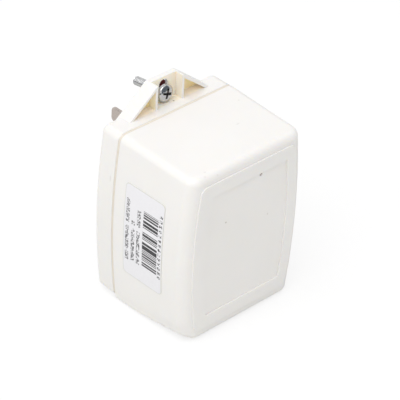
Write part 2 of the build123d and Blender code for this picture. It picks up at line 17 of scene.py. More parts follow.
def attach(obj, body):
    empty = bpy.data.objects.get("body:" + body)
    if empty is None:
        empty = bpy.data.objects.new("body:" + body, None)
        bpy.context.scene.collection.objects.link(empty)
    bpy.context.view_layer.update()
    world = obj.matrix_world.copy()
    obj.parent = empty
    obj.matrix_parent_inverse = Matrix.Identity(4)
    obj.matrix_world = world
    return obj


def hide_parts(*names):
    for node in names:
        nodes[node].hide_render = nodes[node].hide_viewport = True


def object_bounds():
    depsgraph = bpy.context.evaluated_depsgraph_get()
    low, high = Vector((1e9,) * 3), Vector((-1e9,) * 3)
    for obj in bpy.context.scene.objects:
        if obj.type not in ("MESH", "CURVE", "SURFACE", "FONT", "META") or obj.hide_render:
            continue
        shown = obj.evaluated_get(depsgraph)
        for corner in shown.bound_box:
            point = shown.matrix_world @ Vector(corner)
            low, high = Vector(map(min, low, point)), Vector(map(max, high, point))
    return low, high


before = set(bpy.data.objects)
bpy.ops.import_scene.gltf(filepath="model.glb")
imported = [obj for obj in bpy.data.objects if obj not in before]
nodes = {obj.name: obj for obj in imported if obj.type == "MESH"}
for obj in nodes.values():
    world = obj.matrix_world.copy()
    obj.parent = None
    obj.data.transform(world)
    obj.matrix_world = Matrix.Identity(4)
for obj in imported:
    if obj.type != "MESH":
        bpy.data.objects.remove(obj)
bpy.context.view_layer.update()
scene = bpy.context.scene
print("CAD nodes:", len(nodes))

# %% [markdown]
# ## Units and colours
#
# Blender works in metres, and this script thinks in millimetres, so sizes are multiplied by
# `MM`. Colours are written as the hex values of a paint chart. Blender adds light in linear
# values, so one function does the conversion for every colour in the script.

# %% Millimetres and linear colours
MM = 0.001


def linear(code):
    """Turn an sRGB hex colour into the linear values that shaders expect."""
    srgb = np.array([int(code[i : i + 2], 16) for i in (1, 3, 5)]) / 255
    low = srgb / 12.92
    high = ((srgb + 0.055) / 1.055) ** 2.4
    return (*np.where(srgb <= 0.04045, low, high).tolist(), 1.0)


def per(size):
    """Texture scale that repeats once in a size given in millimetres."""
    return 1 / (size * MM)


# %% [markdown]
# ## Adding nodes
#
# A procedural material is a small network of nodes. One function is enough for all of them:
# it adds a node, sets its options, and for each input takes either a plain value or the
# output of another node, which it links. It gives back one output, to go into the next node.

# %% One function for every node
def add(tree, kind, values=(), out=0, **settings):
    """Add a node with its settings and links, and return one of its outputs.

    The values are a list in the order of the node's inputs, or a dictionary by an input's
    name or number. Each is a number, a colour's hex code, or the output of another node.
    """
    node = tree.nodes.new("ShaderNode" + kind)
    for name, setting in settings.items():
        setattr(node, name, setting)
    for key, value in values.items() if isinstance(values, dict) else enumerate(values):
        if isinstance(value, bpy.types.NodeSocket):
            tree.links.new(value, node.inputs[key])
        else:
            node.inputs[key].default_value = linear(value) if isinstance(value, str) else value
    return node.outputs[out] if node.outputs else None


def new_material(name):
    """An empty material, its tree, and the object's own coordinates."""
    material = bpy.data.materials.new(name)
    material.use_nodes = True
    tree = material.node_tree
    tree.nodes.clear()
    return material, tree, add(tree, "TexCoord", out="Object")


def dress(material, *names):
    """Give a finish to CAD nodes."""
    for name in names:
        nodes[name].data.materials.clear()
        nodes[name].data.materials.append(material)
    print(material.name, "on", ", ".join(names))


# %% [markdown]
# ## Patterns
#
# Every finish below is drawn with the same few tools. `clouds` gives soft clouds or, with a
# stretch, streaks. `paint` lays colours over a base, each where its pattern is 1. `product`
# is 1 only where all its patterns are. `axes` gives the place in millimetres. `surface` ends
# a material with a relief and the usual shader. A Map Range node moves a pattern from one
# range into another, and keeps it inside: its inputs are the pattern, the range it comes
# from, and the range it goes to, which is 0 to 1 unless it is given.

# %% Pattern tools
# Noise goes from 0 to 1, but seldom leaves this span.
noise_span = (0.3, 0.7)


def clouds(tree, place, size, detail=2.0, stretch=(1, 1, 1)):
    """Clouds of a size in millimetres. A stretch above 1 makes them longer along that axis."""
    shrink = [1 / s for s in stretch]
    where = add(tree, "VectorMath", [place, shrink], operation="MULTIPLY")
    inputs = {"Vector": where, "Scale": per(size), "Detail": detail}
    return add(tree, "TexNoise", inputs, "Fac")


def paint(tree, base, *coats):
    """Lay colours over a base, one after another. A coat is a pattern and its colour."""
    for pattern, colour in coats:
        inputs = {0: pattern, 6: base, 7: colour}
        base = add(tree, "Mix", inputs, 2, data_type="RGBA")
    return base


def product(tree, first, *others):
    """Multiply patterns or plain numbers, one after another."""
    for other in others:
        first = add(tree, "Math", [first, other], operation="MULTIPLY")
    return first


def axes(tree, place):
    """The three coordinates in millimetres."""
    scaled = add(tree, "VectorMath", {0: place, "Scale": 1 / MM}, operation="SCALE")
    return add(tree, "SeparateXYZ", [scaled]).node.outputs


def surface(tree, colour, roughness, height, depth, others=None):
    """End a material: a relief whose full height is the depth in millimetres, and a shader."""
    bump = add(tree, "Bump", {"Height": height, "Distance": depth * MM})
    inputs = {"Base Color": colour, "Roughness": roughness, "Normal": bump, **(others or {})}
    add(tree, "OutputMaterial", [add(tree, "BsdfPrincipled", inputs)])


# %% [markdown]
# ## The camera
#
# A picture of a small object taken from less than a metre away has a mild perspective, so the
# distance matters as much as the angle. The camera looks down from the front left, over the
# case's top corner, and is turned a few degrees about its own axis.

# %% Camera
view_azimuth = 44.94
view_elevation = 35.73
view_roll = 3.31
view_distance = 870.13
view_target = (1.609, -23.188, -21.225)
view_clip = (10.0, 10000.0)
lens_length = 209.34
sensor_width = 36.0

azimuth = math.radians(view_azimuth)
elevation = math.radians(view_elevation)
backward = Vector(
    (
        -math.sin(azimuth) * math.cos(elevation),
        -math.cos(azimuth) * math.cos(elevation),
        math.sin(elevation),
    )
)
camera = bpy.data.objects.new("camera", bpy.data.cameras.new("camera"))
scene.collection.objects.link(camera)
scene.camera = camera
camera.data.lens = lens_length
camera.data.sensor_width = sensor_width
camera.data.clip_start, camera.data.clip_end = (distance * MM for distance in view_clip)
camera.location = Vector(view_target) * MM + backward * view_distance * MM
turn = backward.to_track_quat("Z", "Y") @ Quaternion((0, 0, 1), math.radians(view_roll))
camera.rotation_mode = "QUATERNION"
camera.rotation_quaternion = turn
print("camera at", [round(v, 3) for v in camera.location])

# %% [markdown]
# ## The studio
#
# The case stands on a white table in a white room. The room gives most of the light, evenly
# from all sides. One large lamp above, to the left and a little in front, makes the top the
# brightest face and leaves the front a shade darker. Rays from the camera, and mirror rays
# from the metal, see the room as plain white. The table is lightened for the camera alone,
# so that it joins the white room and keeps only a faint shadow.

# %% Room and table
room_level = 0.675
table_size = 6000.0
table_lift = 0.72
table_white, table_cloud = "#E5E5E3", "#EAEAE8"

world = bpy.data.worlds.new("white_room")
world.use_nodes = True
scene.world = world
tree = world.node_tree
tree.nodes.clear()
rays = add(tree, "LightPath").node.outputs
seen = rays["Is Camera Ray"]
for ray in ("Is Glossy Ray", "Is Transmission Ray"):
    seen = add(tree, "Math", [seen, rays[ray]], operation="MAXIMUM")
level = add(tree, "MapRange", [seen, 0.0, 1.0, room_level, 1.0])
add(tree, "OutputWorld", [add(tree, "Background", {"Color": "#FFFFFF", "Strength": level})])


def flat_sheet(name, width, height, level, material):
    """A rectangle of a size in mm, flat, with its middle above or below the origin."""
    w, h = width * MM / 2, height * MM / 2
    mesh = bpy.data.meshes.new(name)
    corners = [(-w, -h, level), (w, -h, level), (w, h, level), (-w, h, level)]
    mesh.from_pydata(corners, [], [(0, 1, 2, 3)])
    mesh.materials.append(material)
    return bpy.data.objects.new(name, mesh)


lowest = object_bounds()[0][2]
laminate, tree, place = new_material("white_laminate_table")
by_camera = add(tree, "LightPath", out="Is Camera Ray")
tone = paint(tree, table_white, (clouds(tree, place, size=60.0, detail=3.0), table_cloud))
matt = add(tree, "BsdfDiffuse", {"Color": paint(tree, tone, (by_camera, "#FFFFFF"))})
glow = add(tree, "Emission", {"Color": "#FFFFFF", "Strength": 1.0})
lift = product(tree, by_camera, table_lift)
add(tree, "OutputMaterial", [add(tree, "MixShader", [lift, matt, glow])])
table = flat_sheet("table", table_size, table_size, lowest, laminate)
scene.collection.objects.link(table)
print("table at", round(lowest / MM, 2), "mm")

# %% [markdown]
# ## Lamp and cards
#
# Bright metal only looks like metal when it mirrors something dark as well as something
# bright. A photographer stands cards around it: here a large grey one in front, and five
# narrow black ones round the rest. They are seen by mirror rays alone, so they draw dark
# bands on the screw and the blades and shade nothing else.

# %% Lamp and cards
# Lengths are in mm and the lamp's power in watts. Directions point away from the case.
lamp_size = 1300.0
lamp_power = 10.8
lamp_toward = (-0.50, -0.15, 1.0)
lamp_distance = 1300.0
card_distance = 420.0
card_roughness = 0.9
card_felts = {"black_card": ("#101012", "#1C1C1F"), "grey_card": ("#6C747C", "#78808A")}
cards = {
    "card_front": ("grey_card", 560.0, 420.0, (0.34, -0.84, 0.42)),
    "card_left": ("black_card", 260.0, 110.0, (-0.62, -0.78, 0.10)),
    "card_low": ("black_card", 240.0, 110.0, (-0.80, 0.58, -0.03)),
    "card_behind": ("black_card", 80.0, 220.0, (-0.38, 0.58, 0.72)),
    "card_high": ("black_card", 60.0, 220.0, (0.31, 0.58, 0.76)),
    "card_right": ("black_card", 80.0, 220.0, (0.78, 0.58, 0.25)),
}


def aim(obj, toward, distance):
    """Set an object at a distance from the case, facing it."""
    direction = Vector(toward).normalized()
    obj.location = Vector(view_target) * MM + direction * distance * MM
    obj.rotation_mode = "QUATERNION"
    obj.rotation_quaternion = direction.to_track_quat("Z", "Y")
    scene.collection.objects.link(obj)


light = bpy.data.lights.new("key_lamp", "AREA")
light.size = lamp_size * MM
light.energy = lamp_power
aim(bpy.data.objects.new("key_lamp", light), lamp_toward, lamp_distance)

felts = {}
for name, (dark, pale) in card_felts.items():
    felts[name], tree, place = new_material(name)
    colour = paint(tree, dark, (clouds(tree, place, size=4.0), pale))
    shader = add(tree, "BsdfPrincipled", {"Base Color": colour, "Roughness": card_roughness})
    add(tree, "OutputMaterial", [shader])
for name, (felt, width, height, toward) in cards.items():
    card = flat_sheet(name, width, height, 0.0, felts[felt])
    aim(card, toward, card_distance)
    card.visible_camera = False
    card.visible_diffuse = False
    card.visible_shadow = False
    card.visible_transmission = False
print("cards:", ", ".join(cards))

# %% [markdown]
# ## The moulded case
#
# The case is ABS, injection moulded in a steel mould whose faces were spark eroded, so it has
# a very fine satin grain and soft, wide highlights. White ABS is not quite opaque: some light
# goes in about a millimetre and comes out again, which softens edges and fills thin grooves
# with warm light. Inside the tab's pockets light has passed through thin walls, and comes
# out yellow. There the light is let further into the plastic, and that yellow light is also
# painted: a yellow and cream tint by place stands in for its colour and brightness, on
# plastic that is the same white as the rest.

# %% Where the tab's pockets and bay are
body_top = 13.6
tab_height = 10.2
tab_depth = 6.1
tab_plate = 2.2
tab_foot_half = 19.6
tab_top_half = 6.8
rib_inner = 6.1
rib_outer = 7.0
tab_wall = 1.1
tab_slope = math.atan2(tab_height, tab_foot_half - tab_top_half)


def hollows(tree, place):
    """Masks of the slanted pockets, of the screw's bay, and of what lies above the floor.

    The depth under the slanted face is (foot - |x|) * sin(slope) - (z - top) * cos(slope).
    Each mask ends in a short ramp, a few hundredths to a few tenths of a millimetre long.
    """
    x, y, z = axes(tree, place)
    side = add(tree, "Math", [x], operation="ABSOLUTE")
    out = add(tree, "Math", [tab_foot_half, side], operation="SUBTRACT")
    rise = add(tree, "Math", [z, body_top], operation="SUBTRACT")
    out = product(tree, out, math.sin(tab_slope))
    rise = product(tree, rise, math.cos(tab_slope))
    depth = add(tree, "Math", [out, rise], operation="SUBTRACT")
    under = add(tree, "MapRange", [depth, tab_wall - 0.15, tab_wall])
    front = add(tree, "MapRange", [y, -tab_depth, 0.6 - tab_depth])
    rear = add(tree, "MapRange", [y, 0.15 - tab_plate, 0.05 - tab_plate])
    above = add(tree, "MapRange", [z, body_top - 0.6, body_top - 0.5])
    inside = product(tree, front, rear, above)
    apart = add(tree, "MapRange", [side, rib_outer - 0.08, rib_outer - 0.02])
    between = add(tree, "MapRange", [side, rib_inner + 0.1, rib_inner + 0.04])
    tab_top = body_top + tab_height
    low = add(tree, "MapRange", [z, tab_top - 0.1, tab_top - 0.3])
    raised = add(tree, "MapRange", [z, body_top + 0.03, body_top + 0.15])
    pocket = product(tree, inside, under, apart)
    bay = product(tree, inside, product(tree, between, low))
    return pocket, bay, raised


# %% [markdown]
# ## Specks and scuffs
#
# A real case that has been handled carries a few marks: dark specks in the plastic, and pale
# brown scuffs where something rubbed it. Each is a small ball or a stretched ball around a
# point, and a surface inside it takes a little of the mark's colour.

# %% Marks on the case
# Each mark is its centre, its half sizes and its strength.
marks = [
    ((-9.8, -48.55, -11.9), (0.38, 0.3, 0.38), 0.50),
    ((11.9, -48.55, -18.0), (0.35, 0.3, 0.5), 0.22),
    ((6.8, -48.2, 2.2), (0.9, 0.5, 0.9), 0.32),
    ((-19.1, -45.6, 12.9), (0.5, 0.4, 0.5), 0.12),
    ((-20.6, -47.3, 12.6), (0.5, 0.4, 0.6), 0.12),
    ((-15.3, -48.4, 11.5), (0.4, 0.5, 0.4), 0.10),
    ((2.8, -5.2, 13.6), (0.4, 0.4, 0.4), 0.80),
    ((-29.8, -7.8, -5.7), (0.8, 0.3, 1.6), 0.16),
    ((-29.2, -37.8, 8.4), (0.8, 0.3, 1.1), 0.20),
    ((11.1, -31.0, 13.5), (1.0, 0.35, 0.5), 0.18),
    ((22.0, -20.0, 13.5), (0.4, 0.4, 0.5), 0.15),
    ((29.5, -30.0, -20.0), (0.8, 1.4, 0.4), 0.20),
    ((4.0, 0.0, -38.0), (1.2, 0.5, 0.4), 0.25),
]


def scuffs(tree, place):
    """Add up the marks: each is its strength times a soft step of the stretched distance."""
    total = 0.0
    for centre, half_sizes, strength in marks:
        offset = add(tree, "VectorMath", [place, [c * MM for c in centre]], operation="SUBTRACT")
        scale = [1 / (h * MM) for h in half_sizes]
        scaled = add(tree, "VectorMath", [offset, scale], operation="MULTIPLY")
        away = add(tree, "VectorMath", [scaled], "Value", operation="LENGTH")
        mark = add(tree, "MapRange", [away, 1.2, 0.6, 0.0, strength])
        total = add(tree, "Math", [total, mark], operation="ADD")
    return total


# %% Warm white ABS
abs_white = "#F2F0EE"
abs_cloud = "#EEECE9"
# Painted warm light: these pocket and bay colours stand in for light that came through thin
# walls.
painted_pocket_light_yellow = "#FFE7C8"
painted_pocket_floor_light = "#FFFAEB"
painted_bay_light_cream = "#FBEFD8"
scuff_brown = "#8C7C68"
abs_ior = 1.53
painted_bay_light_share = 0.6
bay_glow = 0.5
# The least and most light that goes in, how deep in mm, and each colour's share of that.
glow_weight = (0.3, 1.0)
glow_depth = (1.0, 5.0)
glow_colours = (1.0, 0.85, 0.62)


def moulded_abs(name):
    """Satin white ABS with its grain, clouds and marks, and painted warm light in the tab's
    hollows.
    """
    material, tree, place = new_material(name)
    cloud = clouds(tree, place, size=18.0, detail=4.0)
    pocket, bay, raised = hollows(tree, place)
    # The pocket and bay coats are painted warm light, not a colour of the plastic.
    colour = paint(
        tree,
        abs_white,
        (cloud, abs_cloud),
        (pocket, paint(tree, painted_pocket_floor_light, (raised, painted_pocket_light_yellow))),
        (product(tree, bay, painted_bay_light_share), painted_bay_light_cream),
        (scuffs(tree, place), scuff_brown),
    )
    # The spark-eroded grain is about 0.05 mm. It is drawn at 0.35 mm so that it shows.
    grain = clouds(tree, place, size=0.35)
    soft = add(tree, "MapRange", [cloud, *noise_span, 0.36, 0.46])
    thin = product(tree, pocket, raised)
    some = add(tree, "Math", [thin, product(tree, bay, bay_glow)], operation="MAXIMUM")
    depths = [depth * MM for depth in glow_depth]
    glow = {
        "IOR": abs_ior,
        "Subsurface Weight": add(tree, "MapRange", [some, 0.0, 1.0, *glow_weight]),
        "Subsurface Radius": glow_colours,
        "Subsurface Scale": add(tree, "MapRange", [thin, 0.0, 1.0, *depths]),
    }
    surface(tree, colour, soft, grain, 0.004, glow)
    return material


satin_white_abs = moulded_abs("satin_white_abs")
dress(satin_white_abs, "front_housing", "back_cover")

# %% [markdown]
# ### The rounder corner
#
# The lower left corner at the front of this case is rounder than the edges that run into it.
# The CAD model has one radius along the foot. A copy of the housing takes its place, with the
# points near that corner pushed in and up, most at the corner itself and less further away.
# The CAD's flat faces have points only at their edges, so planes cut rows of new ones first.

# %% How far the corner is pushed
# For x, y and z: where the push is full, and where it ends.
corner_reach = ((-29.0, -20.0), (-49.0, -20.0), (-61.2, -51.0))
corner_push = (0.9, 0.7, 2.2)
corner_cuts = 7
# In mm: points this close are merged, a cut takes in points this near to it, and slivers
# this narrow are taken out.
merge_reach, cut_reach, sliver_width = 0.002, 0.004, 0.003
housing_crease = math.radians(32)
print("corner pushed by up to", corner_push, "mm")


def ease(value, full, none):
    """1 at full, 0 at none, and a smooth S between: 3 t^2 - 2 t^3."""
    t = np.clip((value - none) / (full - none), 0, 1)
    return t * t * (3 - 2 * t)


# %% Housing with the rounder corner
def rounder_housing():
    """A merged copy of the housing, moved by the product of three eases times the push."""
    shell = bmesh.new()
    shell.from_mesh(nodes["front_housing"].data)
    bmesh.ops.remove_doubles(shell, verts=shell.verts, dist=merge_reach * MM)
    for axis, (full, none) in enumerate(corner_reach):
        for spot in np.linspace(none, full, corner_cuts, endpoint=False):
            place, direction = np.zeros(3), np.zeros(3)
            place[axis], direction[axis] = spot * MM, 1.0
            bmesh.ops.bisect_plane(
                shell,
                geom=[*shell.verts, *shell.edges, *shell.faces],
                dist=cut_reach * MM,
                plane_co=place,
                plane_no=direction,
            )
    bmesh.ops.dissolve_degenerate(shell, dist=sliver_width * MM, edges=shell.edges)
    open_edges = sum(not edge.is_manifold for edge in shell.edges)
    mesh = bpy.data.meshes.new("housing_shell")
    shell.to_mesh(mesh)
    shell.free()
    if "custom_normal" in mesh.attributes:
        mesh.attributes.remove(mesh.attributes["custom_normal"])
    spots = np.empty(len(mesh.vertices) * 3)
    mesh.vertices.foreach_get("co", spots)
    spots = spots.reshape(-1, 3)
    weight = np.prod([ease(spots[:, i] / MM, *corner_reach[i]) for i in range(3)], axis=0)
    spots += weight[:, None] * np.array(corner_push) * MM
    mesh.vertices.foreach_set("co", spots.ravel())
    mesh.polygons.foreach_set("use_smooth", [True] * len(mesh.polygons))
    mesh.set_sharp_from_angle(angle=housing_crease)
    mesh.materials.append(satin_white_abs)
    piece = bpy.data.objects.new("housing_shell", mesh)
    scene.collection.objects.link(piece)
    normals = piece.modifiers.new("even_shading", "WEIGHTED_NORMAL")
    normals.keep_sharp = True
    print("housing points moved:", int((weight > 0.01).sum()), "of", len(mesh.vertices))
    print("open edges:", open_edges)
    return piece


housing = rounder_housing()
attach(housing, "root")
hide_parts("front_housing")

# %% [markdown]
# ## The label
#
# The label is coated paper, cut with round corners and printed in black by a thermal
# printer. It carries no wording: rows of grey texture and a block of bars of chance widths
# come from white noise in small cells, so that no letter or number is drawn.

# %% Where the print is
label_y = (-37.0, -16.4)
label_z = (-42.8, -2.2)
label_round = 1.8
# Rows run along z. Each has its middle in y, half its width, and its two ends in z.
grey_rows = [(-18.4, 0.9, -36.0, -8.5), (-21.5, 0.9, -35.3, -17.0), (-24.3, 0.9, -35.3, -10.9)]
bar_block = (-30.5, 3.9, -34.4, -9.8)
lowest_row = (-35.6, 0.75, -36.2, -7.4)
dot_size = (0.42, 0.34)
dot_gaps = 0.5
patch_length, patch_gaps = 1.7, 0.16
row_ink = 0.85
bar_width, bar_gaps = 0.37, 0.46
square_step, square_share = 2.1, 0.55
cut_edge = (0.32, 0.12)
print("label:", round(label_y[1] - label_y[0], 1), "by", round(label_z[1] - label_z[0], 1), "mm")


# %% Cells by chance, and rows
def chance(tree, *steps):
    """White noise that stays the same inside each cell of the numbers given."""
    cells = [add(tree, "Math", [step], operation="FLOOR") for step in steps]
    where = add(tree, "CombineXYZ", cells)
    return add(tree, "TexWhiteNoise", {"Vector": where}, "Value")


def chance_cells(tree, gaps, *lengths):
    """1 in chance cells and 0 in a share of gaps. Each place comes with its cell's size."""
    steps = [add(tree, "Math", [place, size], operation="DIVIDE") for place, size in lengths]
    return add(tree, "Math", [chance(tree, *steps), gaps], operation="GREATER_THAN")


def inside_row(tree, y, z, row):
    """1 where y is within half the width of the row's middle, and z between its ends."""
    middle, half_width, low, high = row
    across = add(tree, "Math", [y, middle, half_width], operation="COMPARE")
    along = [z, (low + high) / 2, (high - low) / 2]
    return product(tree, across, add(tree, "Math", along, operation="COMPARE"))


# %% Printed paper
def printed_paper():
    """Cool white coated paper with rows of grey texture and a block of bars."""
    material, tree, place = new_material("printed_label_paper")
    _, y, z = axes(tree, place)
    dots = chance_cells(tree, dot_gaps, (y, dot_size[0]), (z, dot_size[1]))
    patches = chance_cells(tree, patch_gaps, (z, patch_length))
    ink = 0.0
    for row in grey_rows:
        ink = add(tree, "Math", [ink, inside_row(tree, y, z, row)], operation="ADD")
    ink = product(tree, ink, dots, product(tree, patches, row_ink))
    bars = product(
        tree, chance_cells(tree, bar_gaps, (z, bar_width)), inside_row(tree, y, z, bar_block)
    )
    step = add(tree, "Math", [z, square_step], operation="DIVIDE")
    step = add(tree, "Math", [step], operation="FRACT")
    squares = add(tree, "Math", [step, square_share], operation="LESS_THAN")
    squares = product(tree, squares, dots, inside_row(tree, y, z, lowest_row))
    for more in (bars, squares):
        ink = add(tree, "Math", [ink, more], operation="MAXIMUM")
    # The cut edge is greyer: the distance from the outline of a rectangle with round corners
    # is the length of what is left of y and z past the middles of those corners.
    past = []
    for value, (low, high) in ((y, label_y), (z, label_z)):
        away = add(tree, "Math", [value, (low + high) / 2], operation="SUBTRACT")
        away = add(tree, "Math", [away], operation="ABSOLUTE")
        short = add(tree, "Math", [away, (high - low) / 2 - label_round], operation="SUBTRACT")
        past.append(add(tree, "Math", [short, 0.0], operation="MAXIMUM"))
    corner = add(tree, "CombineXYZ", past)
    reach = add(tree, "VectorMath", [corner], "Value", operation="LENGTH")
    rim = add(tree, "MapRange", [reach, *(label_round - inset for inset in cut_edge)])
    fibre = clouds(tree, place, size=0.8, detail=3.0)
    toner = paint(tree, "#202024", (fibre, "#36363A"))
    colour = paint(tree, "#F0EFF2", (fibre, "#EAE9ED"), (ink, toner), (rim, "#DAD9D2"))
    sheen = add(tree, "MapRange", [ink, 0.0, 1.0, 0.42, 0.30])
    surface(tree, colour, sheen, fibre, 0.004)
    return material


dress(printed_paper(), "side_label")

# %% [markdown]
# ## Surfaces from numbers
#
# A turned piece is a function of two numbers: how far along its profile a point is, and how
# far round. The function gives all points at once as an array of rows and columns. This
# helper joins neighbouring points with four-sided faces, joins the last column to the first,
# and closes each end with a ring of triangles round one point.

# %% Mesh from a grid that closes round
grid_crease = math.radians(38)


def closed_grid(name, points, start, end, material):
    """Make a closed piece from an array of rows by columns by 3, in millimetres.

    Row i, column j and their neighbours make one face, in the order that looks outward.
    Start and end are the two points that close the first and last rows. Without them the
    last row joins the first, as in a ring.
    """
    rows, columns = points.shape[:2]
    index = np.arange(rows * columns).reshape(rows, columns)
    if start is None:
        index = np.concatenate([index, index[:1]])
    beside = np.roll(index, -1, axis=1)
    quads = np.stack([index[:-1], beside[:-1], beside[1:], index[1:]], axis=-1)
    faces = quads.reshape(-1, 4).tolist()
    everything = points.reshape(-1, 3)
    if start is not None:
        first, last = rows * columns, rows * columns + 1
        faces += np.stack([np.full(columns, first), beside[0], index[0]], axis=-1).tolist()
        faces += np.stack([np.full(columns, last), index[-1], beside[-1]], axis=-1).tolist()
        everything = np.concatenate([everything, [start], [end]])
    mesh = bpy.data.meshes.new(name)
    mesh.from_pydata((everything * MM).tolist(), [], faces)
    mesh.polygons.foreach_set("use_smooth", [True] * len(mesh.polygons))
    mesh.set_sharp_from_angle(angle=grid_crease)
    mesh.materials.append(material)
    piece = bpy.data.objects.new(name, mesh)
    scene.collection.objects.link(piece)
    shell = bmesh.new()
    shell.from_mesh(mesh)
    volume = shell.calc_volume(signed=True) / MM**3
    open_edges = sum(not edge.is_manifold for edge in shell.edges)
    shell.free()
    print(name, "faces:", len(mesh.polygons), "volume in cubic mm:", round(volume, 2))
    print("open edges:", open_edges)
    return piece


# %% [markdown]
# ## The cement in the seam
#
# The two halves of such a case are glued with solvent cement, which softens both. What is
# pressed out rises into the groove and sets there as a shallow, slightly yellow hollow. Its
# beige is also painted shade: it is darker than the case, for the shade in the seam's groove.
# It is made as a short profile carried round the case's outline, because its edges have to
# meet both halves all the way round.

# %% Outline of the case at the seam
half_width = 28.0
cover_low = -59.7
side_bow = 2.6
top_round = 3.2
low_round = 2.2
side_points, corner_points = 90, 14


def case_outline():
    """Points and outward normals round the case, in x and z, as two arrays.

    Each side is an arc whose middle stands out by the bow. Each corner is a smaller arc
    that touches the side's arc and the straight top or foot: its centre lies one radius
    inside both of them. The left half is the right half mirrored.
    """
    middle, reach = (body_top + cover_low) / 2, (body_top - cover_low) / 2
    bow = (reach**2 + side_bow**2) / (2 * side_bow)
    centre = half_width + side_bow - bow
    corners = []
    for radius, sign in ((top_round, 1), (low_round, -1)):
        rise = sign * (reach - radius)
        across = math.sqrt((bow - radius) ** 2 - rise**2)
        corners.append((centre + across, middle + rise, radius, math.atan2(rise, across)))
    side = np.linspace(corners[1][3], corners[0][3], side_points)
    spots = [np.stack([centre + bow * np.cos(side), middle + bow * np.sin(side)], 1)]
    angles = [side]
    for x, z, radius, start in corners:
        turn = np.linspace(start, math.copysign(math.pi / 2, start), corner_points)[1:]
        arc = np.stack([x + radius * np.cos(turn), z + radius * np.sin(turn)], 1)
        if start > 0:
            spots, angles = spots + [arc], angles + [turn]
        else:
            spots, angles = [arc[::-1]] + spots, [turn[::-1]] + angles
    spots, angles = np.concatenate(spots), np.concatenate(angles)
    normals = np.stack([np.cos(angles), np.sin(angles)], 1)
    flip = np.array([-1.0, 1.0])
    spots = np.concatenate([spots, spots[::-1] * flip])
    return spots, np.concatenate([normals, normals[::-1] * flip])


# %% Cement bead
bead_rear, bead_front = -9.57, -10.63
bead_edge, bead_hollow, bead_root = 0.24, 0.2, 1.0
bead_points = 11
# Partly painted shade: these beiges are darker than the case, for the shade in the seam's groove.
cement_and_seam_shade_cream, cement_and_seam_shade_beige = "#E7E0D5", "#DFD6C8"


def cement_bead(material):
    """A hollow profile: depth = edge + hollow * sin(pi * share of the width), and a flat back."""
    outline, normals = case_outline()
    share = np.linspace(0, 1, bead_points)
    depth = bead_edge + bead_hollow * np.sin(math.pi * share)
    depth = np.concatenate([depth, [bead_root, bead_root]])
    y = bead_front + (bead_rear - bead_front) * np.concatenate([share, [1.0, 0.0]])
    flat = outline[:, None, :] - depth[None, :, None] * normals[:, None, :]
    points = np.stack([flat[..., 0], y * np.ones(flat.shape[:2]), flat[..., 1]], axis=-1)
    return closed_grid("cement_bead", points, None, None, material)


def solvent_cemented_abs():
    """ABS that solvent has softened: creamier and smoother, with small ripples along the seam,
    its beige partly painted shade of the groove.
    """
    material, tree, place = new_material("solvent_cemented_abs")
    melt = clouds(tree, place, size=2.5, detail=3.0)
    colour = paint(tree, cement_and_seam_shade_cream, (melt, cement_and_seam_shade_beige))
    rough = add(tree, "MapRange", [melt, *noise_span, 0.3, 0.42])
    surface(tree, colour, rough, melt, 0.05, {"IOR": abs_ior})
    return material


bead = cement_bead(solvent_cemented_abs())
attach(bead, "root")

# %% [markdown]
# ## The cover screw
#
# The screw that holds a plug-in transformer to the wall outlet is a nickel-plated machine
# screw, 6-32 in size, with a pan head and a cross recess. It lies loose in the tab's slot and
# droops. The CAD model has it as a head and a smooth shank. Here one surface makes the whole
# screw, with a real thread, because its tip stands free above the tab and catches the light.

# %% Screw sizes
# The head, the shank and the place are those of the CAD model.
screw_radius = 1.75
screw_length = 15.9
screw_tip = 0.6
screw_pitch = 0.794
thread_depth = 0.2
thread_start = 0.9
thread_crest = 1 / 3
head_radius = 3.45
head_height = 2.1
head_side = 0.9
head_seat = -2.838
head_inner = 2.6
rim_heights = (0.5, 0.12, 0.03, 0.0)
rim_insets = (0.0, 0.0, 0.03, 0.12)
recess_wing = 1.15
recess_span = 4.3
recess_depth = 1.5
recess_taper = 16.0
recess_turn = 20.0
dust_and_shade_depth = 0.06
screw_droop = math.radians(9.2)
screw_origin = (0.0, 0.0, 16.678)
crown_rows, shank_steps, columns_round = 64, 176, 144


# %% Head of the screw
def head_rows(angle):
    """The head, from the middle of its crown to its underside.

    The crown is half an ellipse: height = side + crown * cos(t) at radius * sin(t). The
    recess is cut from it: inside the cross the height is no more than the top less the
    distance from the nearest edge divided by the tangent of the taper, down to the floor.
    """
    t = np.linspace(0.02, math.pi / 2, crown_rows)[:, None]
    radius = head_radius * np.sin(t) * np.ones_like(angle)
    height = head_side + (head_height - head_side) * np.cos(t) * np.ones_like(angle)
    turned = angle - math.radians(recess_turn)
    x, y = np.abs(radius * np.cos(turned)), np.abs(radius * np.sin(turned))
    long, short = recess_span / 2, recess_wing / 2
    inside = np.maximum(np.minimum(long - x, short - y), np.minimum(long - y, short - x))
    walls = head_height - inside / math.tan(math.radians(recess_taper))
    floor = head_height - recess_depth
    height = np.where(inside > 0, np.minimum(height, np.maximum(walls, floor)), height)
    # This hollow mark later paints dust and painted shade into the recess.
    hollow = np.clip(inside / dust_and_shade_depth, 0, 1)
    side = np.array(rim_heights)[:, None] * np.ones_like(angle)
    rim = head_radius - np.array(rim_insets)[:, None] * np.ones_like(angle)
    inner = head_inner * np.ones_like(angle)
    radii = np.concatenate([radius, rim, inner])
    heights = np.concatenate([height, side, np.zeros_like(inner)])
    hollow = np.concatenate([hollow, np.zeros_like(rim), np.zeros_like(inner)])
    return radii, head_seat - heights, hollow


